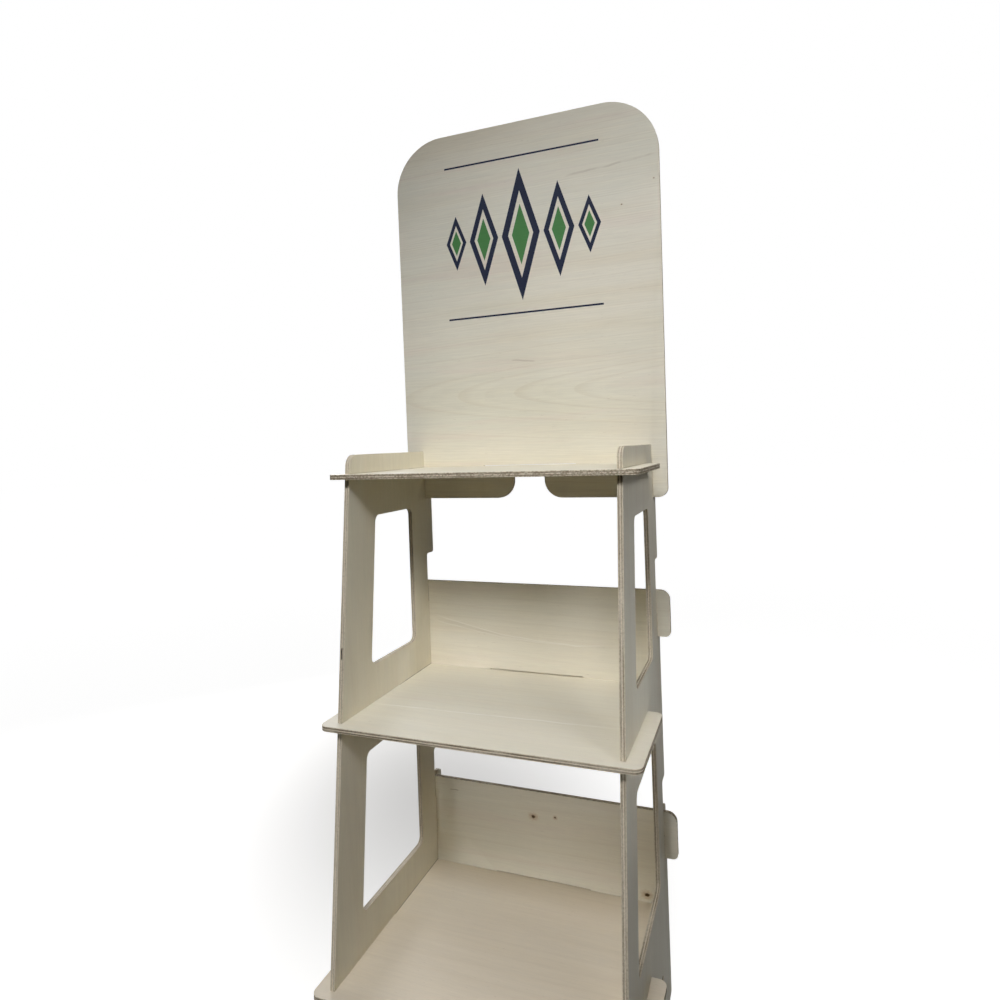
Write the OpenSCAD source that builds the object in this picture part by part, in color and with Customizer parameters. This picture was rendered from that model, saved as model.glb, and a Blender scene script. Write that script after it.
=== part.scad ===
// Floor display stand cut from flat plywood sheet and slotted together without screws.
// Two side panels carry four shelves, a back board behind each lower shelf and a tall header.
// X runs across the stand, Y to the rear and Z up; the origin is on the floor, under the middle.

/* [Sheet] */
// Thickness of the plywood
ply_t = 8; // [5:0.5:12]
// Play left between a piece and the slot that holds it
slot_play = 0.3; // [0.1:0.05:0.6]

/* [Layout] */
// Clear width between the side panels
inner_w = 420; // [300:5:700]
// Height of the lowest shelf's top face above the floor
bottom_shelf_h = 105; // [60:1:200]
// Distance from one shelf to the next
shelf_pitch = 374; // [330:1:450]

/* [Side panels] */
// Depth at the floor, from the front edge to the face of the back boards
floor_depth = 391; // [340:1:450]
// Depth at the top shelf, from the front edge to the face of the header
top_depth = 251; // [235:1:330]
// Height of the panels' ears above the top shelf
ear_h = 30; // [20:1:60]
// Radius of an ear's front corner
ear_r = 19; // [4:1:24]
// Width of the panel behind the boards, which forms the hooks
hook_w = 18; // [12:1:30]
// Radius of the small corners along the rear edge
hook_r = 5; // [2:0.5:6]
// Radius of a hook's tip
hook_tip_r = 7; // [3:0.5:8.5]
// Depth of the shelf slots in the front edge
slot_depth = 175; // [120:1:190]
// Depth of the slot that takes the top shelf
top_slot_depth = 192; // [120:1:200]

/* [Windows] */
// Panel left below the shelf that is over a window
window_head = 64; // [40:1:90]
// Panel left above the shelf that is under the upper window
upper_sill = 60; // [35:1:90]
// Panel left above the shelf that is under each window below
lower_sill = 62; // [35:1:90]
// Width of the front post beside the upper window
upper_front_post = 81; // [50:1:100]
// Width of the front post beside the windows below
lower_front_post = 73; // [50:1:100]
// Width of the rear post beside the upper window, up to the boards
upper_rear_post = 54; // [35:1:80]
// Width of the rear post beside the windows below, up to the boards
lower_rear_post = 54; // [35:1:80]
// Radius of the window corners
window_r = 12; // [4:1:20]

/* [Shelves] */
// Reach of a shelf past the outer face of each side panel
shelf_overhang = 23; // [12:1:40]
// Reach of a shelf in front of the side panels
shelf_nose = 16; // [6:1:30]
// Radius of a shelf's front corners
shelf_front_r = 13; // [4:1:20]
// Radius of the rear corners of a shelf's wide part
shelf_rear_r = 12; // [2:1:16]
// Width of the tab in the middle of a shelf's rear edge
tab_w = 174; // [100:1:240]
// Gap that shows above a tab in the slot that takes it
tab_gap = 1; // [0.3:0.1:2]

/* [Back boards] */
// Height of a back board above its shelf
board_h = 159; // [120:1:190]
// Reach of a back board below the underside of its shelf
board_drop = 20; // [10:1:40]
// Height of the ears that hang outside the side panels
board_ear_h = 78; // [50:1:110]
// Height of the neck that joins an ear to the board and rests in the side panel
neck_h = 40; // [25:1:45]
// Reach of an ear past the outer face of each side panel
board_overhang = 22; // [12:1:40]
// Radius of an ear's top corner
board_top_r = 16; // [4:1:24]
// Radius of the bottom corners
board_bottom_r = 9; // [2:1:12]
// Rise of the lower hooks above their boards
hook_lip = 4; // [1:1:10]
// Fall of the top pair of hooks below their board's top edge
upper_hook_drop = 4; // [1:1:10]
// Room above a neck when the board is lifted over its hooks
lift_room = 7; // [3:1:15]

/* [Header] */
// Height of the header above the top shelf
header_h = 614; // [300:1:900]
// Reach of the header below the top face of the top shelf
header_drop = 59; // [52:1:80]
// Reach of the header's foot past the outer face of each side panel
header_foot_overhang = 25; // [20:1:60]
// Reach of the header's top past the outer face of each side panel
header_top_overhang = 29; // [15:1:60]
// Radius of the header's top corners
header_top_r = 94; // [10:1:140]
// Radius of the header's bottom corners
header_bottom_r = 16; // [2:1:20]
// Width of the notch in the middle of the lower edge
notch_w = 58; // [30:1:120]
// Radius that leads into the notch
notch_r = 32; // [5:1:36]
// Radius of the notch's inner corners
notch_inner_r = 3; // [1:0.5:3]
// Header left between the notch and the slot over it
notch_web = 8; // [5:1:12]

/* [Hidden] */
$fn = 96;

// Levels are counted from the floor: three with a back board, and the top one with the header
LEVELS = [0, 1, 2, 3];
BOTTOM = LEVELS[0];
SECOND = LEVELS[1];
THIRD = LEVELS[2];
TOP = LEVELS[3];
BOARD_LEVELS = [BOTTOM, SECOND, THIRD];

panel_in = inner_w / 2;
panel_out = panel_in + ply_t;
board_slot = ply_t + slot_play;
rear_edge = board_slot + hook_w;

// Heights that follow a shelf's level
function shelf_top(level) = bottom_shelf_h + level * shelf_pitch;
function shelf_under(level) = shelf_top(level) - ply_t;
function board_top(level) = shelf_top(level) + board_h;
function board_seat(level) = board_top(level) - neck_h;
function board_ear_foot(level) = board_top(level) - board_ear_h;
function hook_tip(level) = board_top(level) + (level == THIRD ? -upper_hook_drop : hook_lip);
function hook_step(level) = board_top(level) + hook_lip + neck_h + lift_room;
ear_top = shelf_top(TOP) + ear_h;
header_top = shelf_top(TOP) + header_h;
header_foot = shelf_top(TOP) - header_drop;
lap_z = (ear_top + header_foot) / 2;

// The front edge leans: it stands further forward towards the floor
function front_y(z) = -floor_depth + (floor_depth - top_depth) * z / shelf_top(TOP);
function slot_reach(level) = level == TOP ? top_slot_depth : slot_depth;
function slot_end(level) = front_y(shelf_top(level)) + slot_reach(level);
function nose_y(level) = front_y(shelf_top(level)) - shelf_nose;
front_reach = max(floor_depth, -nose_y(BOTTOM));
middle_y = (rear_edge - front_reach) / 2;

// How far a cut runs past the edge that it works on
overrun = 1;
// How far an arc bites past the edges that it joins, so that it crosses them cleanly
arc_bite = 0.005;

wood = "#e2dac0";
edge_wood = "#d8cdb0";

// Corner geometry for an outline of [x, y, radius] points, listed anticlockwise
function flat(p) = [p[0], p[1]];
function toward(a, b) = (flat(b) - flat(a)) / norm(flat(b) - flat(a));
function turn(before, p, after) = cross(toward(before, p), toward(p, after));
function half_angle(before, p, after) = acos(toward(p, before) * toward(p, after)) / 2;
function arc_start(before, p, after) = flat(p) + toward(p, before) * p[2] / tan(half_angle(before, p, after));
function arc_end(before, p, after) = arc_start(after, p, before);
function bisector(before, p, after) = toward([0, 0], toward(p, before) + toward(p, after));
function arc_centre(before, p, after) =
    flat(p) + bisector(before, p, after) * p[2] / sin(half_angle(before, p, after));
function previous(points, i) = points[i == 0 ? len(points) - 1 : i - 1];
function next(points, i) = points[i == len(points) - 1 ? 0 : i + 1];
function is_round(points, i) = points[i][2] > 0;
function is_inner(points, i) = turn(previous(points, i), points[i], next(points, i)) < 0;

// An inner corner is filled out to the centre of its arc, ready for the arc to be cut
function filled_corner(before, p, after) =
    [arc_start(before, p, after), arc_centre(before, p, after), arc_end(before, p, after)];
function filled_outline(points) = [for (i = [0:len(points) - 1])
    each is_round(points, i) && is_inner(points, i)
        ? filled_corner(previous(points, i), points[i], next(points, i))
        : [flat(points[i])]];

// The sliver between an outer corner and its arc, run a little past both edges
module corner_sliver(before, p, after) {
    centre = arc_centre(before, p, after);
    start = arc_start(before, p, after);
    end = arc_end(before, p, after);
    past_start = toward(centre, start) * overrun;
    past_end = toward(centre, end) * overrun;
    difference() {
        polygon([start + past_start, flat(p) + past_start + past_end, end + past_end, centre]);
        translate(centre) circle(p[2] + arc_bite);
    }
}

// A flat outline whose corners are rounded by the radius that each point carries
module rounded_outline(points) {
    difference() {
        polygon(filled_outline(points));
        for (i = [0:len(points) - 1]) {
            before = previous(points, i);
            after = next(points, i);
            if (is_round(points, i) && is_inner(points, i))
                translate(arc_centre(before, points[i], after)) circle(points[i][2] + arc_bite);
            if (is_round(points, i) && !is_inner(points, i))
                corner_sliver(before, points[i], after);
        }
    }
}

// The left half of an outline that has been listed for the right, anticlockwise as well
function mirrored(points) = [for (i = [len(points) - 1:-1:0]) [-points[i][0], points[i][1], points[i][2]]];

// Sheets standing across the stand, standing along it, and lying flat
module across_sheet() {
    translate([0, ply_t - middle_y, 0]) rotate([90, 0, 0]) linear_extrude(ply_t) children();
}

module side_sheet(x) {
    translate([x, -middle_y, 0]) rotate([90, 0, 90]) linear_extrude(ply_t) children();
}

module flat_sheet(z) {
    translate([0, -middle_y, z]) linear_extrude(ply_t) children();
}

// Rear edge of a side panel at one board: hook, seat for the neck, and the step above it
function hook_points(level) = [
    [rear_edge, hook_tip(level), hook_tip_r],
    [board_slot, hook_tip(level), hook_tip_r],
    [board_slot, board_seat(level), 0],
    [0, board_seat(level), 0],
    [0, hook_step(level), hook_r],
    [rear_edge, hook_step(level), hook_r]];

// Front edge of a side panel at one shelf: an open slot that the shelf slides into
function slot_points(level) = [
    [front_y(shelf_top(level) + slot_play), shelf_top(level) + slot_play, 0],
    [slot_end(level), shelf_top(level) + slot_play, 0],
    [slot_end(level), shelf_under(level), 0],
    [front_y(shelf_under(level)), shelf_under(level), 0]];

panel_points = concat(
    [[-floor_depth, 0, 0], [rear_edge, 0, 0]],
    [for (level = BOARD_LEVELS) each hook_points(level)],
    [[rear_edge, ear_top, hook_r], [board_slot, ear_top, 0], [board_slot, lap_z, 0]],
    [[0, lap_z, 0], [0, ear_top, 0], [front_y(ear_top), ear_top, ear_r]],
    [for (level = [TOP:-1:BOTTOM]) each slot_points(level)]);

// Window in the bay above a shelf, with a front edge that follows the panel's
module window_outline(level) {
    front_post = level == THIRD ? upper_front_post : lower_front_post;
    rear_post = level == THIRD ? upper_rear_post : lower_rear_post;
    sill = level == THIRD ? upper_sill : lower_sill;
    low = shelf_top(level) + sill;
    high = shelf_under(level + 1) - window_head;
    rounded_outline([
        [front_y(low) + front_post, low, window_r],
        [-rear_post, low, window_r],
        [-rear_post, high, window_r],
        [front_y(high) + front_post, high, window_r]]);
}

module side_panel(x) {
    color(wood) side_sheet(x) difference() {
        rounded_outline(panel_points);
        for (level = BOARD_LEVELS) window_outline(level);
    }
}

module left_side_panel() {
    side_panel(-panel_out);
}

module right_side_panel() {
    side_panel(panel_in);
}

// A shelf is wide in front of the slots' ends and narrow behind them, between the panels;
// its tab goes through the board behind it
module shelf(level) {
    wide = panel_out + shelf_overhang;
    narrow = panel_in - slot_play;
    shoulder = slot_end(level) - slot_play;
    half_tab = tab_w / 2;
    color(edge_wood) flat_sheet(shelf_under(level)) rounded_outline([
        [-wide, nose_y(level), shelf_front_r],
        [wide, nose_y(level), shelf_front_r],
        [wide, shoulder, shelf_rear_r],
        [narrow, shoulder, 0],
        [narrow, -slot_play, 0],
        [half_tab, -slot_play, 0],
        [half_tab, ply_t, 0],
        [-half_tab, ply_t, 0],
        [-half_tab, -slot_play, 0],
        [-narrow, -slot_play, 0],
        [-narrow, shoulder, 0],
        [-wide, shoulder, shelf_rear_r]]);
}

module bottom_shelf() {
    shelf(BOTTOM);
}

module second_shelf() {
    shelf(SECOND);
}

module third_shelf() {
    shelf(THIRD);
}

module top_shelf() {
    shelf(TOP);
}

// Slot in a board or the header for the tab of the shelf in front of it
module tab_slot(level) {
    slot_w = tab_w + 2 * slot_play;
    translate([-slot_w / 2, shelf_under(level)]) square([slot_w, ply_t + tab_gap]);
}

// A back board straddles both side panels: its necks rest in their hooks, and its ears hang outside
module back_board(level) {
    wide = panel_out + board_overhang;
    slot_far = panel_out + slot_play;
    slot_near = panel_in - slot_play;
    right_half = [
        [slot_near, shelf_under(level) - board_drop, board_bottom_r],
        [slot_near, board_seat(level), 0],
        [slot_far, board_seat(level), 0],
        [slot_far, board_ear_foot(level), 0],
        [wide, board_ear_foot(level), board_bottom_r],
        [wide, board_top(level), board_top_r]];
    color(wood) across_sheet() difference() {
        rounded_outline(concat(right_half, mirrored(right_half)));
        tab_slot(level);
    }
}

module bottom_back_board() {
    back_board(BOTTOM);
}

module second_back_board() {
    back_board(SECOND);
}

module third_back_board() {
    back_board(THIRD);
}

// The header stands in the panels' top slots and straddles them with slots of its own
module header_board() {
    wide_foot = panel_out + header_foot_overhang;
    wide_top = panel_out + header_top_overhang;
    slot_far = panel_out + slot_play;
    slot_near = panel_in - slot_play;
    half_notch = notch_w / 2;
    notch_top = shelf_under(TOP) - notch_web;
    right_half = [
        [half_notch, notch_top, notch_inner_r],
        [half_notch, header_foot, notch_r],
        [slot_near, header_foot, 0],
        [slot_near, lap_z, 0],
        [slot_far, lap_z, 0],
        [slot_far, header_foot, 0],
        [wide_foot, header_foot, header_bottom_r],
        [wide_top, header_top, header_top_r]];
    color(wood) across_sheet() difference() {
        rounded_outline(concat(right_half, mirrored(right_half)));
        tab_slot(TOP);
    }
}

left_side_panel();
right_side_panel();
bottom_shelf();
second_shelf();
third_shelf();
top_shelf();
bottom_back_board();
second_back_board();
third_back_board();
header_board();
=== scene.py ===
# %% [markdown]
# A display stand of slotted plywood
#
# The stand is ten flat pieces of pale poplar plywood: two leaning side panels, four shelves, three back
# boards and a tall header. Nothing but slots holds them together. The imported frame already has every
# piece at its real size and place, so this lesson is about finish: soft arrises, veneer faces, layered
# edges, knots, a printed ornament and light.

# %% Load the frame
import math

import bmesh
import bpy
from mathutils import Matrix, Vector


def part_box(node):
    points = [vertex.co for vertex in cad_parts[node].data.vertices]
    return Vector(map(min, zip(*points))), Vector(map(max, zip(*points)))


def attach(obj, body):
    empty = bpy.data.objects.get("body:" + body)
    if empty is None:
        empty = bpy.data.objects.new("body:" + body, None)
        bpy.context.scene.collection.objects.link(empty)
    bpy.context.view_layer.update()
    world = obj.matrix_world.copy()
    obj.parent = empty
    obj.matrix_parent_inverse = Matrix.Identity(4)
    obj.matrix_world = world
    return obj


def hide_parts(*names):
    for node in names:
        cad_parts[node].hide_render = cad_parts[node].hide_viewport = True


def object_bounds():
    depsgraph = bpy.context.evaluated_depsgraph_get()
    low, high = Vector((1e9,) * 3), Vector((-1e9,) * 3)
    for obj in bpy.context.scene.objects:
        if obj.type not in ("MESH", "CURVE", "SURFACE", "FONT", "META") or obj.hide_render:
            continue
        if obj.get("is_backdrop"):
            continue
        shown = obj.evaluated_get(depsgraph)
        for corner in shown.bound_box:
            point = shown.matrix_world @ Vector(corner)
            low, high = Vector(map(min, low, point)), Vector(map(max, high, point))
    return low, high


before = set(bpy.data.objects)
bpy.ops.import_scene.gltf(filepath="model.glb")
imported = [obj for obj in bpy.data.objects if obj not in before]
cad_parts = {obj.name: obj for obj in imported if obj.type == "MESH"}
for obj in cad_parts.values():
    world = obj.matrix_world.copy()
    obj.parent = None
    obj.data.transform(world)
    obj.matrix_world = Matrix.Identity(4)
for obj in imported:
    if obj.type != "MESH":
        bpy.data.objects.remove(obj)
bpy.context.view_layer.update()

MM = 0.001

# %% [markdown]
# The camera
#
# The photograph was taken with a phone held a little above the top shelf, turned to the left and rolled
# slightly. A camera can be aimed with a Track To constraint, but a roll and a shifted lens are easier to
# state as turns: first about the view axis, then up from looking straight down, then about the vertical.

# %% Camera
IMAGE_SIDE = 1000
FOCAL_PIXELS = 683.4
OPTICAL_AXIS_ROW = 450
SENSOR_WIDTH = 36
CAMERA_PLACE = Vector((0.3959, -0.9749, 1.2639))
CAMERA_YAW = math.radians(21.203)
CAMERA_DIP = math.radians(0.396)
CAMERA_ROLL = math.radians(-1.993)

camera_data = bpy.data.cameras.new("camera")
camera_data.sensor_width = SENSOR_WIDTH
camera_data.lens = SENSOR_WIDTH * FOCAL_PIXELS / IMAGE_SIDE
camera_data.shift_y = OPTICAL_AXIS_ROW / IMAGE_SIDE - 0.5
camera = bpy.data.objects.new("camera", camera_data)
camera.matrix_world = (Matrix.Translation(CAMERA_PLACE)
                       @ Matrix.Rotation(CAMERA_YAW, 4, "Z")
                       @ Matrix.Rotation(math.pi / 2 - CAMERA_DIP, 4, "X")
                       @ Matrix.Rotation(CAMERA_ROLL, 4, "Z"))
bpy.context.scene.collection.objects.link(camera)
bpy.context.scene.camera = camera
print("lens, mm:", round(camera_data.lens, 2))

# %% [markdown]
# Sheets with soft arrises
#
# A cut sheet has crisp edges that sanding takes off by half a millimetre, and that thin round is what
# catches light. The frame's meshes are loose triangles, so a copy is merged and its flat triangles
# dissolved before a bevel can run along the real edges.

# %% Sheet pieces
ARRIS = 0.5 * MM
MERGE_DISTANCE = 0.01 * MM
FLAT_ANGLE = math.radians(1)
CORNER_ANGLE = math.radians(30)
SHARP_ANGLE = math.radians(20)

# The way a sheet lies gives the index of the axis through its thickness
THROUGH = {"side": 0, "across": 1, "flat": 2}
LIE = {
    "left_side_panel": "side", "right_side_panel": "side",
    "bottom_shelf": "flat", "second_shelf": "flat", "third_shelf": "flat", "top_shelf": "flat",
    "bottom_back_board": "across", "second_back_board": "across", "third_back_board": "across",
    "header_board": "across"}


def finish_mesh(bm, name):
    """Makes an object of a bmesh, smooth over an arc's steps and sharp at every corner."""
    mesh = bpy.data.meshes.new(name)
    bm.to_mesh(mesh)
    bm.free()
    mesh.shade_smooth()
    mesh.set_sharp_from_angle(angle=SHARP_ANGLE)
    made = bpy.data.objects.new(name, mesh)
    bpy.context.scene.collection.objects.link(made)
    return made


def soft_sheet(node):
    """A bevelled copy of one sheet, which stands for its node."""
    bm = bmesh.new()
    bm.from_mesh(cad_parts[node].data)
    bmesh.ops.remove_doubles(bm, verts=bm.verts, dist=MERGE_DISTANCE)
    bmesh.ops.dissolve_limit(bm, angle_limit=FLAT_ANGLE, verts=bm.verts, edges=bm.edges)
    corners = [e for e in bm.edges if len(e.link_faces) == 2 and e.calc_face_angle() > CORNER_ANGLE]
    bmesh.ops.bevel(bm, geom=corners, offset=ARRIS, offset_type="OFFSET", affect="EDGES", segments=2,
                    profile=0.5, material=-1)
    piece = finish_mesh(bm, node + "_sheet")
    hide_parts(node)
    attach(piece, "root")
    return piece


sheets = {node: soft_sheet(node) for node in LIE}
for node, piece in sheets.items():
    print(piece.name, len(piece.data.polygons), "faces")

# %% [markdown]
# Wiring shaders in code
#
# Every finish here is a shader tree, and many share an effect. A few small helpers keep the wiring
# readable: one adds a node and fills its sockets with values or links, and the others are the sums,
# ramps and blends used everywhere.

# %% Shader helpers
def paint(code):
    """A colour written as a web code, as the linear colour that a shader takes."""
    shares = [int(code[i:i + 2], 16) / 255 for i in (1, 3, 5)]
    return [s / 12.92 if s <= 0.04045 else ((s + 0.055) / 1.055) ** 2.4 for s in shares] + [1.0]


def add(tree, kind, sockets=None, **settings):
    """Adds a shader node, then fills its input sockets with values or links."""
    made = tree.nodes.new("ShaderNode" + kind)
    for key, value in settings.items():
        setattr(made, key, value)
    for key, value in (sockets or {}).items():
        if isinstance(value, bpy.types.NodeSocket):
            tree.links.new(value, made.inputs[key])
        else:
            made.inputs[key].default_value = value
    return made


def reckon(tree, operation, first, second=0.0):
    """The result of a Math node."""
    return add(tree, "Math", {0: first, 1: second}, operation=operation).outputs[0]


def product(tree, *values):
    """Two or more values multiplied."""
    total = values[0]
    for value in values[1:]:
        total = reckon(tree, "MULTIPLY", total, value)
    return total


def distance(tree, first, second):
    """How far apart two values are."""
    return reckon(tree, "ABSOLUTE", reckon(tree, "SUBTRACT", first, second))


def vector_from(tree, start, point):
    """The vector from a start to a point."""
    return add(tree, "VectorMath", {0: point, 1: start}, operation="SUBTRACT").outputs[0]


def vector_length(tree, vector):
    """The length of a vector."""
    return add(tree, "VectorMath", {0: vector}, operation="LENGTH").outputs["Value"]


def ramp(tree, value, low, high, start=0.0, end=1.0):
    """Turns low to high into start to end, smoothly and clamped."""
    sockets = {"Value": value, "From Min": low, "From Max": high, "To Min": start, "To Max": end}
    return add(tree, "MapRange", sockets, interpolation_type="SMOOTHSTEP").outputs["Result"]


def blend(tree, share, first, second, mode="MIX"):
    """A colour between two colours."""
    sockets = {0: share, 6: first, 7: second}
    return add(tree, "Mix", sockets, data_type="RGBA", blend_type=mode).outputs[2]


def stretched_noise(tree, vector, along, across, detail, through=None):
    """Noise in the sheet's coordinates, with so many features to the metre along and across the grain."""
    scale = (along, across, across if through is None else through)
    drawn = add(tree, "Mapping", {"Vector": vector, "Scale": scale}).outputs[0]
    sockets = {"Vector": drawn, "Scale": 1.0, "Detail": detail, "Roughness": 0.55}
    return add(tree, "TexNoise", sockets).outputs["Fac"]


def sway_noise(tree, vector, along, across):
    """Soft noise that swings about zero."""
    return reckon(tree, "SUBTRACT", stretched_noise(tree, vector, along, across, 2.0), 0.5)


def new_group(name, inputs, outputs):
    """A shader group with named sockets; gives its tree and the sockets inside it."""
    tree = bpy.data.node_groups.new(name, "ShaderNodeTree")
    for label, kind, value in inputs:
        socket = tree.interface.new_socket(label, in_out="INPUT", socket_type="NodeSocket" + kind)
        socket.default_value = value
    for label, kind in outputs:
        tree.interface.new_socket(label, in_out="OUTPUT", socket_type="NodeSocket" + kind)
    return tree, tree.nodes.new("NodeGroupInput").outputs, tree.nodes.new("NodeGroupOutput").inputs


def use(tree, group, sockets):
    """Places a group in a tree; gives its outputs."""
    return add(tree, "Group", sockets, node_tree=group).outputs


print("helpers ready")

# %% [markdown]
# Growth rings
#
# A veneer is cut from a log, so its figure is where the cut crosses the yearly rings: long lines far
# from the heart, and nested arches near it. Painting arches by hand would never look grown, so the group
# measures each point's distance from a heart line that runs slightly out of the sheet, lets it wander a
# little, and draws a fine dark line at the end of each ring. Rings differ in strength, as wet and dry
# years do.

# %% Growth ring group
RING_END = 0.92

ring_tree, ring_in, ring_out = new_group(
    "growth_rings",
    [("Vector", "Vector", (0, 0, 0)), ("Heart", "Vector", (0, 0, 0)), ("Slope", "Float", 0.07),
     ("Spacing", "Float", 9 * MM), ("Wander", "Float", 12 * MM)],
    [("Line", "Float"), ("Year", "Float")])
from_heart = vector_from(ring_tree, ring_in["Heart"], ring_in["Vector"])
offsets = add(ring_tree, "SeparateXYZ", {0: from_heart}).outputs
along = product(ring_tree, offsets["X"], ring_in["Slope"])
sway = product(ring_tree, sway_noise(ring_tree, ring_in["Vector"], 3.2, 11), ring_in["Wander"])
across = reckon(ring_tree, "ADD", offsets["Y"], sway)
spot = add(ring_tree, "CombineXYZ", {0: along, 1: across, 2: 0.0}).outputs[0]
rings = reckon(ring_tree, "DIVIDE", vector_length(ring_tree, spot), ring_in["Spacing"])
year = reckon(ring_tree, "FLOOR", rings)
strength = add(ring_tree, "TexWhiteNoise", {"W": year}, noise_dimensions="1D").outputs["Value"]
part = reckon(ring_tree, "FRACT", rings)
rise = ramp(ring_tree, part, 0.35, RING_END)
fall = ramp(ring_tree, part, RING_END, 1.0, 1.0, 0.0)
line = product(ring_tree, rise, fall, ramp(ring_tree, strength, 0.25, 1.0))
ring_tree.links.new(line, ring_out["Line"])
ring_tree.links.new(strength, ring_out["Year"])
print("growth_rings:", len(ring_tree.nodes), "nodes")

# %% [markdown]
# Poplar veneer
#
# Sanded poplar is a pale cream with slow drifts to green-grey, tan and pink, long faint streaks, and
# fibres a fraction of a millimetre wide. Each is a noise drawn out along the grain, from the broad ones
# to the fine, and each moves the colour only a little. One sheet is plain and the next lively, so a
# Figure value draws every share of colour towards its usual one. The same fibres give the roughness and
# the height, so that gloss and colour agree.

# %% Veneer group
VENEER_CREAM = paint("#E6DFC9")
VENEER_TAN = paint("#DDD2B6")
VENEER_GREEN = paint("#DDDBC6")
VENEER_PINK = paint("#DFD0BC")
RING_BROWN = paint("#AD9873")
FLECK_BROWN = paint("#9C8763")
RING_LINE_SHARE = 0.2

# Features to the metre along and across the grain, and detail
GRAIN = {
    "bands": (1.3, 17, 3.0), "drift": (2.6, 5.5, 2.0), "blush": (2.2, 30, 4.0), "streaks": (6, 150, 3.0),
    "hairs": (16, 380, 3.0), "fibres": (45, 1500, 2.0), "flecks": (90, 700, 1.0)}

veneer_tree, veneer_in, veneer_out = new_group(
    "poplar_veneer",
    [("Vector", "Vector", (0, 0, 0)), ("Seed", "Vector", (0, 0, 0)), ("Line", "Float", 0.0),
     ("Year", "Float", 0.5), ("Figure", "Float", 0.5)],
    [("Color", "Color"), ("Roughness", "Float"), ("Height", "Float")])
grown = add(veneer_tree, "VectorMath", {0: veneer_in["Vector"], 1: veneer_in["Seed"]}).outputs[0]
grain = {name: stretched_noise(veneer_tree, grown, *drawn) for name, drawn in GRAIN.items()}


def grain_ramp(name, low, high, start, end):
    """One of the noises, turned from low to high into start to end."""
    return ramp(veneer_tree, grain[name], low, high, start, end)


def figured(share, usual):
    """A share that keeps near its usual value where the figure is weak."""
    apart = reckon(veneer_tree, "SUBTRACT", share, usual)
    return reckon(veneer_tree, "ADD", product(veneer_tree, apart, veneer_in["Figure"]), usual)


face = blend(veneer_tree, figured(grain_ramp("bands", 0.38, 0.70, 0.0, 1.0), 0.35), VENEER_CREAM, VENEER_TAN)
face = blend(veneer_tree, figured(grain_ramp("drift", 0.40, 0.68, 0.0, 0.7), 0.22), face, VENEER_GREEN)
face = blend(veneer_tree, figured(grain_ramp("blush", 0.54, 0.72, 0.0, 0.6), 0.06), face, VENEER_PINK)
ringed = figured(product(veneer_tree, veneer_in["Line"], RING_LINE_SHARE), 0.0)
face = blend(veneer_tree, ringed, face, RING_BROWN)
face = blend(veneer_tree, grain_ramp("flecks", 0.72, 0.82, 0.0, 0.25), face, FLECK_BROWN)
shade = reckon(veneer_tree, "ADD", grain_ramp("streaks", 0.3, 0.7, -0.015, 0.015),
               grain_ramp("fibres", 0.3, 0.7, -0.02, 0.02))
shade = reckon(veneer_tree, "ADD", shade, figured(grain_ramp("hairs", 0.3, 0.7, -0.035, 0.035), 0.0))
yearly = ramp(veneer_tree, veneer_in["Year"], 0.0, 1.0, 0.98, 1.01)
shade = reckon(veneer_tree, "ADD", shade, figured(yearly, 0.995))
veneer_colour = add(veneer_tree, "VectorMath", {0: face, "Scale": shade}, operation="SCALE").outputs[0]
height = reckon(veneer_tree, "ADD", grain["fibres"], product(veneer_tree, grain["streaks"], 0.6))
height = reckon(veneer_tree, "SUBTRACT", height, veneer_in["Line"])
veneer_tree.links.new(veneer_colour, veneer_out["Color"])
veneer_tree.links.new(grain_ramp("streaks", 0.3, 0.7, 0.50, 0.64), veneer_out["Roughness"])
veneer_tree.links.new(height, veneer_out["Height"])
print("poplar_veneer:", len(veneer_tree.nodes), "nodes")

# %% [markdown]
# Layered edges
#
# On a cut edge the five plies lie like pages. The thin faces and the core have their grain along the
# sheet and stay cream; the two between are cut across the fibre, so they are brown, rough and pitted,
# and thin glue lines part them all. The group reads the depth into the sheet, which each material
# supplies as its third coordinate, so that layers run true round every corner. One ply differs from the
# next, so each of the brown ones has a darkness of its own that comes and goes along the cut.

# %% Ply edge group
FACE_PLY_SHARE, CORE_START_SHARE = 0.14, 0.38
PLY_BORDER = 0.03
PLY_WAVER = 0.08
PLY_CREAM = paint("#DDD1B6")
PLY_BROWN = paint("#75654C")
PLY_PIT = paint("#41362A")
GLUE_BROWN = paint("#6B5940")

edge_tree, edge_in, edge_out = new_group(
    "ply_edge",
    [("Vector", "Vector", (0, 0, 0)), ("Seed", "Vector", (0, 0, 0)), ("Thickness", "Float", 8 * MM),
     ("Brown", "Float", 0.8), ("Speckle", "Float", 0.3)],
    [("Color", "Color"), ("Roughness", "Float"), ("Height", "Float")])
cut = add(edge_tree, "VectorMath", {0: edge_in["Vector"], 1: edge_in["Seed"]}).outputs[0]
depth = add(edge_tree, "SeparateXYZ", {0: edge_in["Vector"]}).outputs["Z"]
waver = product(edge_tree, sway_noise(edge_tree, cut, 60, 60), PLY_WAVER)
depth_share = reckon(edge_tree, "ADD", reckon(edge_tree, "DIVIDE", depth, edge_in["Thickness"]), waver)
from_face = reckon(edge_tree, "PINGPONG", depth_share, 0.5)
in_cross = product(edge_tree, ramp(edge_tree, from_face, FACE_PLY_SHARE, FACE_PLY_SHARE + PLY_BORDER),
                   ramp(edge_tree, from_face, CORE_START_SHARE, CORE_START_SHARE + PLY_BORDER, 1.0, 0.0))
which = reckon(edge_tree, "FLOOR", product(edge_tree, depth_share, 2.0))
apart = add(edge_tree, "VectorMath", {0: (3.1, 5.3, 0.0), "Scale": which}, operation="SCALE").outputs[0]
own = add(edge_tree, "VectorMath", {0: cut, 1: apart}).outputs[0]
patches = stretched_noise(edge_tree, own, 14, 14, 3.0, 0.0)
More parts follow.
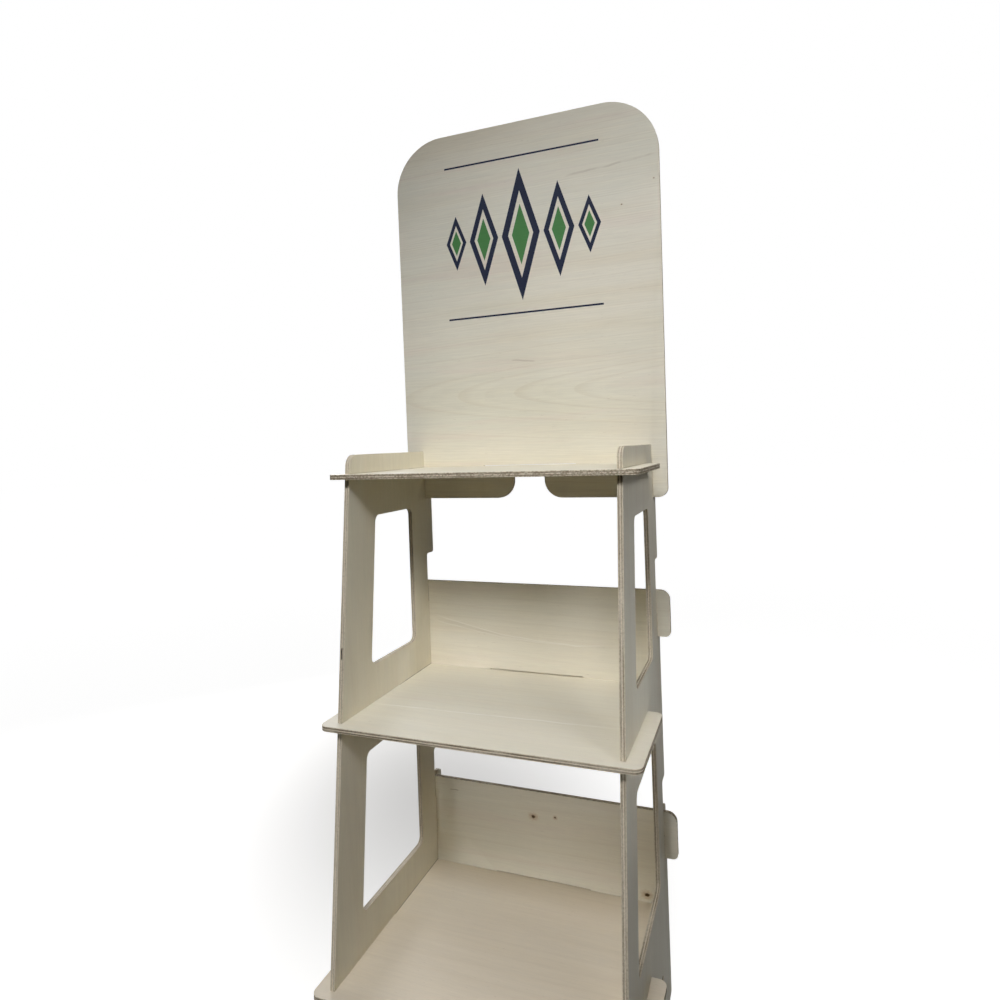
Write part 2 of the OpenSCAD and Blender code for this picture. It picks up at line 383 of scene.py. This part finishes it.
grit = stretched_noise(edge_tree, cut, 480, 480, 3.0)
crumbs = stretched_noise(edge_tree, cut, 330, 330, 2.0, 500)

long_ply = blend(edge_tree, ramp(edge_tree, grit, 0.55, 0.75, 0.0, 0.4), PLY_CREAM, PLY_BROWN)
browned = product(edge_tree, ramp(edge_tree, patches, 0.32, 0.62, 0.35, 1.0), edge_in["Brown"])
cross_ply = blend(edge_tree, browned, PLY_CREAM, PLY_BROWN)
pits = ramp(edge_tree, grit, 0.56, 0.68, 0.0, 0.8)
cross_ply = blend(edge_tree, product(edge_tree, pits, browned), cross_ply, PLY_PIT)
edge_colour = blend(edge_tree, in_cross, long_ply, cross_ply)
to_glue = reckon(edge_tree, "MINIMUM", distance(edge_tree, from_face, FACE_PLY_SHARE),
                 distance(edge_tree, from_face, CORE_START_SHARE))
edge_colour = blend(edge_tree, ramp(edge_tree, to_glue, 0.005, 0.02, 0.6, 0.0), edge_colour, GLUE_BROWN)
frayed = product(edge_tree, ramp(edge_tree, crumbs, 0.42, 0.60), edge_in["Speckle"])
edge_colour = blend(edge_tree, frayed, edge_colour, PLY_BROWN)
hollow = product(edge_tree, reckon(edge_tree, "ADD", pits, 0.3), in_cross)
edge_tree.links.new(edge_colour, edge_out["Color"])
edge_tree.links.new(ramp(edge_tree, grit, 0.3, 0.7, 0.62, 0.85), edge_out["Roughness"])
edge_tree.links.new(reckon(edge_tree, "SUBTRACT", grit, hollow), edge_out["Height"])
print("ply_edge:", len(edge_tree.nodes), "nodes")

# %% [markdown]
# Knots
#
# A pin knot is a dark spot where a twig began, with a warm halo in the wood round it. The group gives two
# masks from a centre and a radius, drawn out a little along the grain, and a sheet's material places as
# many as it needs.

# %% Knot group
KNOT_STRETCH = (0.75, 1.0, 0.0)

knot_tree, knot_in, knot_out = new_group(
    "pin_knot",
    [("Vector", "Vector", (0, 0, 0)), ("Centre", "Vector", (0, 0, 0)), ("Radius", "Float", 3 * MM)],
    [("Core", "Float"), ("Halo", "Float")])
to_knot = vector_from(knot_tree, knot_in["Centre"], knot_in["Vector"])
to_knot = add(knot_tree, "VectorMath", {0: to_knot, 1: KNOT_STRETCH}, operation="MULTIPLY").outputs[0]
ragged = ramp(knot_tree, stretched_noise(knot_tree, knot_in["Vector"], 300, 420, 2.0), 0.2, 0.8, 0.75, 1.3)
reach = product(knot_tree, vector_length(knot_tree, to_knot), ragged)
radii = reckon(knot_tree, "DIVIDE", reach, knot_in["Radius"])
knot_tree.links.new(ramp(knot_tree, radii, 0.6, 1.1, 1.0, 0.0), knot_out["Core"])
knot_tree.links.new(ramp(knot_tree, radii, 0.9, 3.0, 1.0, 0.0), knot_out["Halo"])
print("pin_knot:", len(knot_tree.nodes), "nodes")

# %% [markdown]
# Single grain lines
#
# Here and there one ring is darker or paler than its neighbours and draws a single line across the sheet.
# The group makes it from a start point, a length, a slope and a bow, with a little wander, and fades it at
# both ends. The same group draws the gap where a core ply has torn out of a cut edge, and the line of
# painted contact shade at the back of the third shelf.

# %% Grain line group
LINE_WANDER = 6 * MM

line_tree, line_in, line_out = new_group(
    "grain_line",
    [("Vector", "Vector", (0, 0, 0)), ("Start", "Vector", (0, 0, 0)), ("Length", "Float", 0.1),
     ("Slope", "Float", 0.0), ("Bow", "Float", 0.0), ("Width", "Float", 1 * MM)],
    [("Mask", "Float")])
from_start = vector_from(line_tree, line_in["Start"], line_in["Vector"])
offsets = add(line_tree, "SeparateXYZ", {0: from_start}).outputs
run = reckon(line_tree, "DIVIDE", offsets["X"], line_in["Length"])
rise = reckon(line_tree, "ADD", product(line_tree, offsets["X"], line_in["Slope"]),
              product(line_tree, run, run, line_in["Bow"]))
sway = product(line_tree, sway_noise(line_tree, line_in["Vector"], 22, 8), LINE_WANDER)
off_line = distance(line_tree, offsets["Y"], reckon(line_tree, "ADD", rise, sway))
near = ramp(line_tree, reckon(line_tree, "DIVIDE", off_line, line_in["Width"]), 0.2, 1.0, 1.0, 0.0)
starts = ramp(line_tree, run, 0.0, 0.12)
stops = ramp(line_tree, run, 0.8, 1.0, 1.0, 0.0)
uneven = ramp(line_tree, stretched_noise(line_tree, line_in["Vector"], 28, 60, 2.0), 0.3, 0.6, 0.35, 1.0)
mask = product(line_tree, near, product(line_tree, starts, stops), uneven)
line_tree.links.new(mask, line_out["Mask"])
print("grain_line:", len(line_tree.nodes), "nodes")

# %% [markdown]
# What each sheet is like
#
# No two veneers match, so each sheet has its own heart, ring spacing and liveliness. Knots, single lines,
# a torn ply and worn edges are listed by sheet; one dark line on the third shelf is painted contact shade,
# and the second back board's darker edges are partly painted shade. Where another sheet stands on a face,
# a thin dark line of painted contact shade, with a little grime, runs along the joint. All places are in
# the sheet's coordinates: along the grain, across it, and depth.

# %% Sheet tables
# Heart in the sheet's coordinates, slope of the heart line, and ring spacing, in metres
RINGS = {
    "left_side_panel": ((2.6, -0.05, 0), 0.05, 0.010),
    "right_side_panel": ((-1.3, 0.12, 0), 0.06, 0.011),
    "bottom_shelf": ((-1.6, 0.10, 0), 0.07, 0.012),
    "second_shelf": ((1.9, -0.20, 0), 0.05, 0.012),
    "third_shelf": ((-1.8, -0.12, 0), 0.06, 0.012),
    "top_shelf": ((1.4, 0.05, 0), 0.06, 0.011),
    "bottom_back_board": ((1.2, 0.20, 0), 0.07, 0.010),
    "second_back_board": ((-1.5, 0.70, 0), 0.06, 0.012),
    "third_back_board": ((-0.9, 0.80, 0), 0.08, 0.010),
    "header_board": ((0.866, 1.357, 0), 0.07, 0.0039)}

# How lively a sheet's veneer is
FIGURE = {
    "header_board": 0.70, "third_back_board": 0.40, "second_back_board": 0.45, "bottom_back_board": 0.45,
    "left_side_panel": 0.30, "right_side_panel": 0.40}
USUAL_FIGURE = 0.28

# How far a sheet's veneer leans to a warmer tone
WARMTH = {"second_shelf": 1.0}
WARM_TINT = (0.985, 0.935, 0.905, 1)

# Centre along and across the grain, and radius, in metres
KNOTS = {
    "second_back_board": [(-0.014, 0.592, 0.0032), (0.027, 0.5965, 0.0016), (0.186, 0.491, 0.0036)],
    "header_board": [(0.182, 1.664, 0.0008), (0.237, 1.699, 0.0007)]}
KNOT_CORE = paint("#4A3722")
KNOT_HALO = paint("#B9986A")
HALO_SHARE = 0.55

# Start along and across the grain, length, slope, bow, width, in metres, and strength
DARK_LINES_AND_SHADE = {
    "third_back_board": [(-0.212, 0.9465, 0.38, -0.27, 0.066, 0.0050, 0.08)],
    "second_back_board": [(-0.180, 0.617, 0.020, 0.0, 0.0, 0.0012, 0.70)],
    # On the third shelf the dark line is painted contact shade, where the shelf meets the board behind it
    "third_shelf": [(-0.115, 0.1834, 0.230, 0.0, 0.0, 0.0017, 0.85)],
    "header_board": [(0.080, 1.728, 0.175, 0.06, 0.003, 0.0028, 0.24),
                     (-0.0275, 1.4170, 0.050, -0.11, 0.0, 0.0018, 0.30)]}
PALE_LINES = {
    "third_back_board": [(-0.212, 0.9527, 0.38, -0.30, 0.074, 0.0016, 0.40),
                         (-0.212, 0.9410, 0.34, -0.24, 0.050, 0.0016, 0.30)],
    "third_shelf": [(-0.220, -0.0240, 0.44, 0.0315, 0.0, 0.0028, 0.55)]}
LINE_AND_SHADE_BROWN = paint("#8E7650")
LINE_PALE = paint("#F4EFE0")

# Painted contact shade with a little grime, as dark lines across the panels' grain at the tops of the
# shelves, and across the boards' grain at the panels
SHELF_TOPS = [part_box(node)[1].z for node, lie in LIE.items() if lie == "flat"]
BAY_HALF_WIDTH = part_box("right_side_panel")[0].x
BAY_SIDES = [-BAY_HALF_WIDTH, BAY_HALF_WIDTH]
CONTACT_SHADE_LINES = {
    "left_side_panel": SHELF_TOPS, "right_side_panel": SHELF_TOPS,
    "bottom_back_board": BAY_SIDES, "second_back_board": BAY_SIDES, "third_back_board": BAY_SIDES}
CONTACT_SHADE_HALF_WIDTH = 1.2 * MM
CONTACT_SHADE_CORE_SHARE = 0.2
CONTACT_SHADE_STRENGTH = 0.6
CONTACT_SHADE_BROWN = paint("#5F4F36")

# How brown the cross plies of an edge are, and how frayed it is; on the second back board both are raised
# partly as painted shade
EDGE_WEAR_AND_SHADE = {
    "left_side_panel": (0.42, 0.15), "right_side_panel": (0.65, 0.20), "top_shelf": (0.75, 0.70),
    "third_shelf": (1.0, 0.15), "second_shelf": (0.9, 0.35), "bottom_shelf": (0.9, 0.3),
    # The second back board's darker edges are partly painted shade, for its top edge that lies in shadow
    "second_back_board": (1.0, 0.7)}
USUAL_WEAR = (0.8, 0.2)

# A ply torn out of an edge: start along the grain, depth, length, width, and the most across the grain
EDGE_GAPS = {"left_side_panel": (0.945, 0.0045, 0.020, 0.0018, -0.06)}
EDGE_GAP_BORDER = 0.01
GAP_BLACK = paint("#2B231A")
print(len(RINGS), "sheets,", sum(len(places) for places in KNOTS.values()), "knots")

# %% [markdown]
# A face and an edge material for each sheet
#
# A Mapping node turns the object's coordinates to the sheet's. Grain runs level on the shelves, the boards
# and the header, and upright on the side panels. Mesh faces that look along the sheet's thickness become
# veneer, and all others show the layers.

# %% Sheet materials
FACE_SLOT, EDGE_SLOT = 0, 1
FACE_ALIGNMENT = 0.99
TURN = {"flat": (0, 0, 0), "across": (-math.pi / 2, 0, 0), "side": (0, math.pi / 2, 0)}
WOOD_SPECULAR = 0.15
BUMP_STRENGTH = 0.5
VENEER_RELIEF = 0.06 * MM
EDGE_RELIEF = 0.15 * MM
SEED_STEP_ALONG, SEED_STEP_ACROSS = 1.7, 0.83


def wood_material(name):
    """A new material; gives it, its tree and its Principled shader."""
    made = bpy.data.materials.new(name)
    made.use_nodes = True
    shader = made.node_tree.nodes["Principled BSDF"]
    shader.inputs["Specular IOR Level"].default_value = WOOD_SPECULAR
    return made, made.node_tree, shader


def sheet_vector(tree, node):
    """Object coordinates turned to the sheet's: along the grain, across it, and depth from one face."""
    lie = LIE[node]
    low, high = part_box(node)
    depth_start = -low.z if lie == "flat" else high[THROUGH[lie]]
    objects = add(tree, "TexCoord").outputs["Object"]
    sockets = {"Vector": objects, "Location": (0, 0, depth_start), "Rotation": TURN[lie]}
    return add(tree, "Mapping", sockets).outputs[0]


def sheet_thickness(node):
    """The size of a sheet along the axis through it."""
    low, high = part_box(node)
    return (high - low)[THROUGH[LIE[node]]]


def wire(tree, shader, colour, roughness, height, relief):
    """Sends colour, roughness and height to the shader."""
    sockets = {"Height": height, "Strength": BUMP_STRENGTH, "Distance": relief}
    tree.links.new(colour, shader.inputs["Base Color"])
    tree.links.new(roughness, shader.inputs["Roughness"])
    tree.links.new(add(tree, "Bump", sockets).outputs[0], shader.inputs["Normal"])


def contact_shade_mask(tree, vector, node):
    """Painted contact shade with a little grime: uneven dark lines across the face that looks into the bays,
    wherever another sheet stands on it.
    """
    places = add(tree, "SeparateXYZ", {0: vector}).outputs
    inner_side = "LESS_THAN" if node == "left_side_panel" else "GREATER_THAN"
    on_face = reckon(tree, inner_side, places["Z"], sheet_thickness(node) / 2)
    mask = 0.0
    for joint in CONTACT_SHADE_LINES[node]:
        off_joint = distance(tree, places["X"], joint)
        near = ramp(tree, off_joint, CONTACT_SHADE_CORE_SHARE * CONTACT_SHADE_HALF_WIDTH, CONTACT_SHADE_HALF_WIDTH, 1.0, 0.0)
        mask = reckon(tree, "MAXIMUM", near, mask)
    uneven = ramp(tree, stretched_noise(tree, vector, 30, 30, 2.0), 0.35, 0.6, 0.4, 1.0)
    return product(tree, mask, uneven, on_face)


def veneer_material(node, seed):
    """The face of one sheet: veneer with its own rings, knots and lines, and painted contact shade where
    other sheets stand on it.
    """
    made, tree, shader = wood_material(node + "_veneer")
    vector = sheet_vector(tree, node)
    heart, slope, spacing = RINGS[node]
    ring = use(tree, ring_tree, {"Vector": vector, "Heart": heart, "Slope": slope, "Spacing": spacing})
    sockets = {"Vector": vector, "Seed": seed, "Line": ring["Line"], "Year": ring["Year"]}
    wood = use(tree, veneer_tree, {**sockets, "Figure": FIGURE.get(node, USUAL_FIGURE)})
    colour = wood["Color"]
    if node in WARMTH:
        colour = blend(tree, WARMTH[node], colour, WARM_TINT, "MULTIPLY")
    for along_grain, across_grain, radius in KNOTS.get(node, []):
        centre = (along_grain, across_grain, 0)
        knot = use(tree, knot_tree, {"Vector": vector, "Centre": centre, "Radius": radius})
        colour = blend(tree, product(tree, knot["Halo"], HALO_SHARE), colour, KNOT_HALO)
        colour = blend(tree, knot["Core"], colour, KNOT_CORE)
    # Dark lines are grain lines, except on the third shelf, where the dark line is painted contact shade
    for lines, tone in ((DARK_LINES_AND_SHADE, LINE_AND_SHADE_BROWN), (PALE_LINES, LINE_PALE)):
        for along_grain, across_grain, length, slope, bow, width, strength in lines.get(node, []):
            sockets = {"Vector": vector, "Start": (along_grain, across_grain, 0), "Length": length}
            drawn = use(tree, line_tree, {**sockets, "Slope": slope, "Bow": bow, "Width": width})["Mask"]
            colour = blend(tree, product(tree, drawn, strength), colour, tone)
    # Painted contact shade, with a little grime, along the joints where other sheets stand on this face
    if node in CONTACT_SHADE_LINES:
        colour = blend(tree, product(tree, contact_shade_mask(tree, vector, node), CONTACT_SHADE_STRENGTH), colour, CONTACT_SHADE_BROWN)
    wire(tree, shader, colour, wood["Roughness"], wood["Height"], VENEER_RELIEF)
    return made


def edge_material(node, seed):
    """The cut edge of one sheet: layers with their own wear, darker on the second back board partly as
    painted shade, and a torn ply where the table has one.
    """
    made, tree, shader = wood_material(node + "_edge")
    brown, speckle = EDGE_WEAR_AND_SHADE.get(node, USUAL_WEAR)
    vector = sheet_vector(tree, node)
    sockets = {"Vector": vector, "Seed": seed, "Thickness": sheet_thickness(node)}
    layers = use(tree, edge_tree, {**sockets, "Brown": brown, "Speckle": speckle})
    colour = layers["Color"]
    if node in EDGE_GAPS:
        start, depth, length, width, most_across = EDGE_GAPS[node]
        places = add(tree, "SeparateXYZ", {0: vector}).outputs
        on_edge = add(tree, "CombineXYZ", {0: places["X"], 1: places["Z"], 2: 0.0}).outputs[0]
        sockets = {"Vector": on_edge, "Start": (start, depth, 0), "Length": length, "Width": width}
        torn = use(tree, line_tree, sockets)["Mask"]
        in_front = ramp(tree, places["Y"], most_across, most_across + EDGE_GAP_BORDER, 1.0, 0.0)
        colour = blend(tree, product(tree, torn, in_front), colour, GAP_BLACK)
    wire(tree, shader, colour, layers["Roughness"], layers["Height"], EDGE_RELIEF)
    return made


for count, (node, piece) in enumerate(sheets.items()):
    seed = (SEED_STEP_ALONG * count, SEED_STEP_ACROSS * count, 0.0)
    piece.data.materials.clear()
    piece.data.materials.append(veneer_material(node, seed))
    piece.data.materials.append(edge_material(node, seed))
    through = THROUGH[LIE[node]]
    for face in piece.data.polygons:
        face.material_index = FACE_SLOT if abs(face.normal[through]) > FACE_ALIGNMENT else EDGE_SLOT
print(len(bpy.data.materials), "materials")

# %% [markdown]
# A printed ornament
#
# The upper half of the header has a plain ornament in dark blue and green: five lozenge rings that shrink
# to both sides, each round a green lozenge, between two thin rules. Ink has hardly any thickness, so each
# figure is an outline pressed out by a tenth of a millimetre.

# %% Header print
INK_RISE = 0.1 * MM
PRINT_MIDDLE_HEIGHT = 1.640
LOZENGE_HALF_WIDTHS = [36 * MM, 28 * MM, 20 * MM]
LOZENGE_HALF_HEIGHTS = [118 * MM, 84 * MM, 50 * MM]
LOZENGE_GAP = 7 * MM
RING_SHARE, CORE_SHARE = 0.66, 0.46
RULE_HALF_HEIGHT = 1.6 * MM
RULE_DROP = 140 * MM
SORT_AXIS = Vector((1.0, 0.37, 0.61))
header_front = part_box("header_board")[0].y


def pressed_out(outlines, name):
    """A thin raised print; each outline is a loop of (x, z) corners, and an inner loop may leave a hole."""
    bm = bmesh.new()
    for outer, inner in outlines:
        loops = [[bm.verts.new((x, header_front, z)) for x, z in loop] for loop in (outer, inner) if loop]
        if len(loops) == 1:
            bm.faces.new(loops[0])
        else:
            count = len(outer)
            for i in range(count):
                after = (i + 1) % count
                bm.faces.new([loops[0][i], loops[0][after], loops[1][after], loops[1][i]])
    raised = bmesh.ops.extrude_face_region(bm, geom=bm.faces[:])["geom"]
    lifted = [v for v in raised if isinstance(v, bmesh.types.BMVert)]
    bmesh.ops.translate(bm, verts=lifted, vec=(0, -INK_RISE, 0))
    bmesh.ops.recalc_face_normals(bm, faces=bm.faces)
    # Extruding leaves the faces in no fixed order, so they are sorted by place
    bm.faces.sort(key=lambda face: face.calc_center_median().dot(SORT_AXIS))
    made = finish_mesh(bm, name)
    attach(made, "root")
    return made


def lozenge(middle, half_width, half_height, share):
    """The four corners of a lozenge, drawn in to a share of its size."""
    wide, high = half_width * share, half_height * share
    return [(middle - wide, PRINT_MIDDLE_HEIGHT), (middle, PRINT_MIDDLE_HEIGHT + high),
            (middle + wide, PRINT_MIDDLE_HEIGHT), (middle, PRINT_MIDDLE_HEIGHT - high)]


middles = {0: 0.0}
for step in (1, 2):
    inner, outer = LOZENGE_HALF_WIDTHS[step - 1], LOZENGE_HALF_WIDTHS[step]
    middles[step] = middles[step - 1] + inner + LOZENGE_GAP + outer
    middles[-step] = -middles[step]
rings, cores = [], []
for step, middle in middles.items():
    size = LOZENGE_HALF_WIDTHS[abs(step)], LOZENGE_HALF_HEIGHTS[abs(step)]
    rings.append((lozenge(middle, *size, 1.0), lozenge(middle, *size, RING_SHARE)))
    cores.append((lozenge(middle, *size, CORE_SHARE), None))
rule_end = middles[2] + LOZENGE_HALF_WIDTHS[2]
for side in (-1, 1):
    height = PRINT_MIDDLE_HEIGHT + side * RULE_DROP
    low, high = height - RULE_HALF_HEIGHT, height + RULE_HALF_HEIGHT
    rings.append(([(-rule_end, low), (-rule_end, high), (rule_end, high), (rule_end, low)], None))
blue_print = pressed_out(rings, "print_blue")
green_print = pressed_out(cores, "print_green")
print("print, mm:", round(2 * rule_end / MM), "wide")

# %% [markdown]
# Ink
#
# Ink soaks into the wood, so the fibres and streaks of the veneer still show in its colour and gloss.

# %% Ink materials
INK_RELIEF = 0.03 * MM


def ink_material(name, ink, worn):
    """Printed ink with faint wood fibres in it."""
    made, tree, shader = wood_material(name)
    vector = sheet_vector(tree, "header_board")
    fibres = stretched_noise(tree, vector, *GRAIN["fibres"])
    streaks = stretched_noise(tree, vector, *GRAIN["streaks"])
    colour = blend(tree, ramp(tree, fibres, 0.45, 0.75, 0.0, 0.5), ink, worn)
    roughness = ramp(tree, streaks, 0.3, 0.7, 0.42, 0.56)
    wire(tree, shader, colour, roughness, reckon(tree, "ADD", fibres, streaks), INK_RELIEF)
    return made


for piece, ink, worn in ((blue_print, "#1B2033", "#2C3043"), (green_print, "#487A43", "#5A8751")):
    piece.data.materials.clear()
    piece.data.materials.append(ink_material(piece.name + "_ink", paint(ink), paint(worn)))
    print(piece.name, piece.data.materials[0].name)

# %% [markdown]
# The floor
#
# The stand is shown on white. The floor is a plain pale sheet that takes the stand's shadow, and to the
# camera it also glows, so that it meets the white behind. Two soft ovals glow less, where the shade of a
# real room would gather: a small one under the stand and a long one from there to the rear left, away from
# the lamps. The glow is seen only by the camera and by reflections, so it adds no light to the wood.

# %% Floor
FLOOR_HALF_SIDE = 30.0
FLOOR_COLOUR = (0.42, 0.40, 0.35, 1)
FLOOR_ROUGHNESS = 0.9
WHITE = (1, 1, 1, 1)
NEAR_GLOW, FAR_GLOW = 0.97, 1.0
GLOW_START, GLOW_END = 2.0, 6.0

# Ovals of shade: middle, turn in degrees, half sides, the even part, and the share of glow that is kept
SHADES = [
    ((-0.74, 1.21, 0), 32.5, (0.95, 1.50, 1), 0.0, 0.39),
    ((0, 0, 0), 0.0, (0.50, 0.50, 1), 0.3, 0.55)]

bm = bmesh.new()
bmesh.ops.create_grid(bm, x_segments=1, y_segments=1, size=FLOOR_HALF_SIDE)
floor = finish_mesh(bm, "floor")
floor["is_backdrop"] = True


def seen_directly(tree):
    """1 for rays from the camera, and for those that a mirror or glass passes on."""
    path = add(tree, "LightPath").outputs
    mirrored = reckon(tree, "MAXIMUM", path["Is Glossy Ray"], path["Is Transmission Ray"])
    return reckon(tree, "MAXIMUM", path["Is Camera Ray"], mirrored)


floor_material, tree, shader = wood_material("floor_white")
shader.inputs["Base Color"].default_value = FLOOR_COLOUR
shader.inputs["Roughness"].default_value = FLOOR_ROUGHNESS
shader.inputs["Specular IOR Level"].default_value = 0.0
place = add(tree, "TexCoord").outputs["Object"]
strength = ramp(tree, vector_length(tree, place), GLOW_START, GLOW_END, NEAR_GLOW, FAR_GLOW)
for middle, turn, half_sides, even, kept in SHADES:
    sockets = {"Vector": place, "Location": middle, "Scale": half_sides,
               "Rotation": (0, 0, math.radians(turn))}
    in_oval = add(tree, "Mapping", sockets, vector_type="TEXTURE").outputs[0]
    strength = product(tree, strength, ramp(tree, vector_length(tree, in_oval), even, 1.0, kept, 1.0))
strength = product(tree, strength, seen_directly(tree))
glow = add(tree, "Emission", {"Color": WHITE, "Strength": strength}).outputs[0]
both = add(tree, "AddShader", {0: shader.outputs[0], 1: glow}).outputs[0]
tree.links.new(both, tree.nodes["Material Output"].inputs["Surface"])
floor.data.materials.append(floor_material)
print("floor, m:", 2 * FLOOR_HALF_SIDE, "wide")

# %% [markdown]
# The white surround
#
# The world is white to the camera and in reflections, and nearly dark as a source of light, so that the
# lamps alone model the stand.

# %% World
ROOM_LIGHT = 0.005
world = bpy.data.worlds.new("surround")
world.use_nodes = True
bpy.context.scene.world = world
tree = world.node_tree
background = tree.nodes["Background"]
background.inputs["Color"].default_value = WHITE
level = ramp(tree, seen_directly(tree), 0.0, 1.0, ROOM_LIGHT, 1.0)
tree.links.new(level, background.inputs["Strength"])
print("world ready, room light", ROOM_LIGHT)

# %% [markdown]
# Lamps
#
# A broad lamp hangs under the ceiling in front, and a small one to the right, so that its panel shadows
# have clear borders. The next five are narrowed by grids. One stands further to the front and draws the
# slanting border under the top shelf on the left panel. Three at the right brighten the right side, the
# right half of the header and the right end of the third shelf, and a weak one stands low and lifts the
# shade inside the lower bay. The last is broad and stands behind on the left, so that the back can be seen.

# %% Lamps
LAMP_TINT = (0.89, 0.91, 1.0)
OPEN = 180
STAND_MIDDLE = (0, 0, 1.1)
UPPER_BAYS = (0, 0, 0.85)
RIGHT_SIDE = (0.1, 0.1, 0.9)
HEADER_RIGHT = (0.22, 0.18, 1.55)
SHELF_RIGHT = (0.15, 0, 0.88)
LOWER_BAY = (0.0, 0.18, 0.54)

# Place, the place aimed at and width of the disc, in metres, power in watts, and spread in degrees
LAMPS = {
    "ceiling_right_lamp": ((0.8, -0.33, 2.7), STAND_MIDDLE, 0.3, 2.9, OPEN),
    "ceiling_front_lamp": ((0, -1.0, 2.9), STAND_MIDDLE, 1.4, 3.6, OPEN),
    "front_lamp": ((0.2, -1.77, 2.9), UPPER_BAYS, 0.63, 4.1, 50),
    "right_lamp": ((1.785, -1.314, 2.2), RIGHT_SIDE, 0.7, 0.5, 60),
    "header_lamp": ((1.514, -1.314, 2.3), HEADER_RIGHT, 0.6, 0.86, 35),
    "shelf_lamp": ((1.9, -0.9, 1.3), SHELF_RIGHT, 0.3, 0.066, 12),
    "low_lamp": ((-0.36, -2.3, 0.9), LOWER_BAY, 0.45, 0.17, 16),
    "rear_left_lamp": ((-1.8, 1.9, 1.7), STAND_MIDDLE, 1.4, 31, OPEN)}

for name, (place, target, width, power, spread) in LAMPS.items():
    data = bpy.data.lights.new(name, "AREA")
    data.shape = "DISK"
    data.size = width
    data.energy = power
    data.spread = math.radians(spread)
    data.color = LAMP_TINT
    lamp = bpy.data.objects.new(name, data)
    lamp.location = place
    lamp.rotation_euler = (Vector(target) - Vector(place)).to_track_quat("-Z", "Y").to_euler()
    bpy.context.scene.collection.objects.link(lamp)
print(len(LAMPS), "lamps")

# %% [markdown]
# Colour and the stand's size
#
# Standard view keeps colours as they are written. The stand's size after dressing is printed.

# %% Finish
bpy.context.scene.view_settings.view_transform = "Standard"
low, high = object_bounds()
print("dressed, mm:", [round(side / MM) for side in high - low])
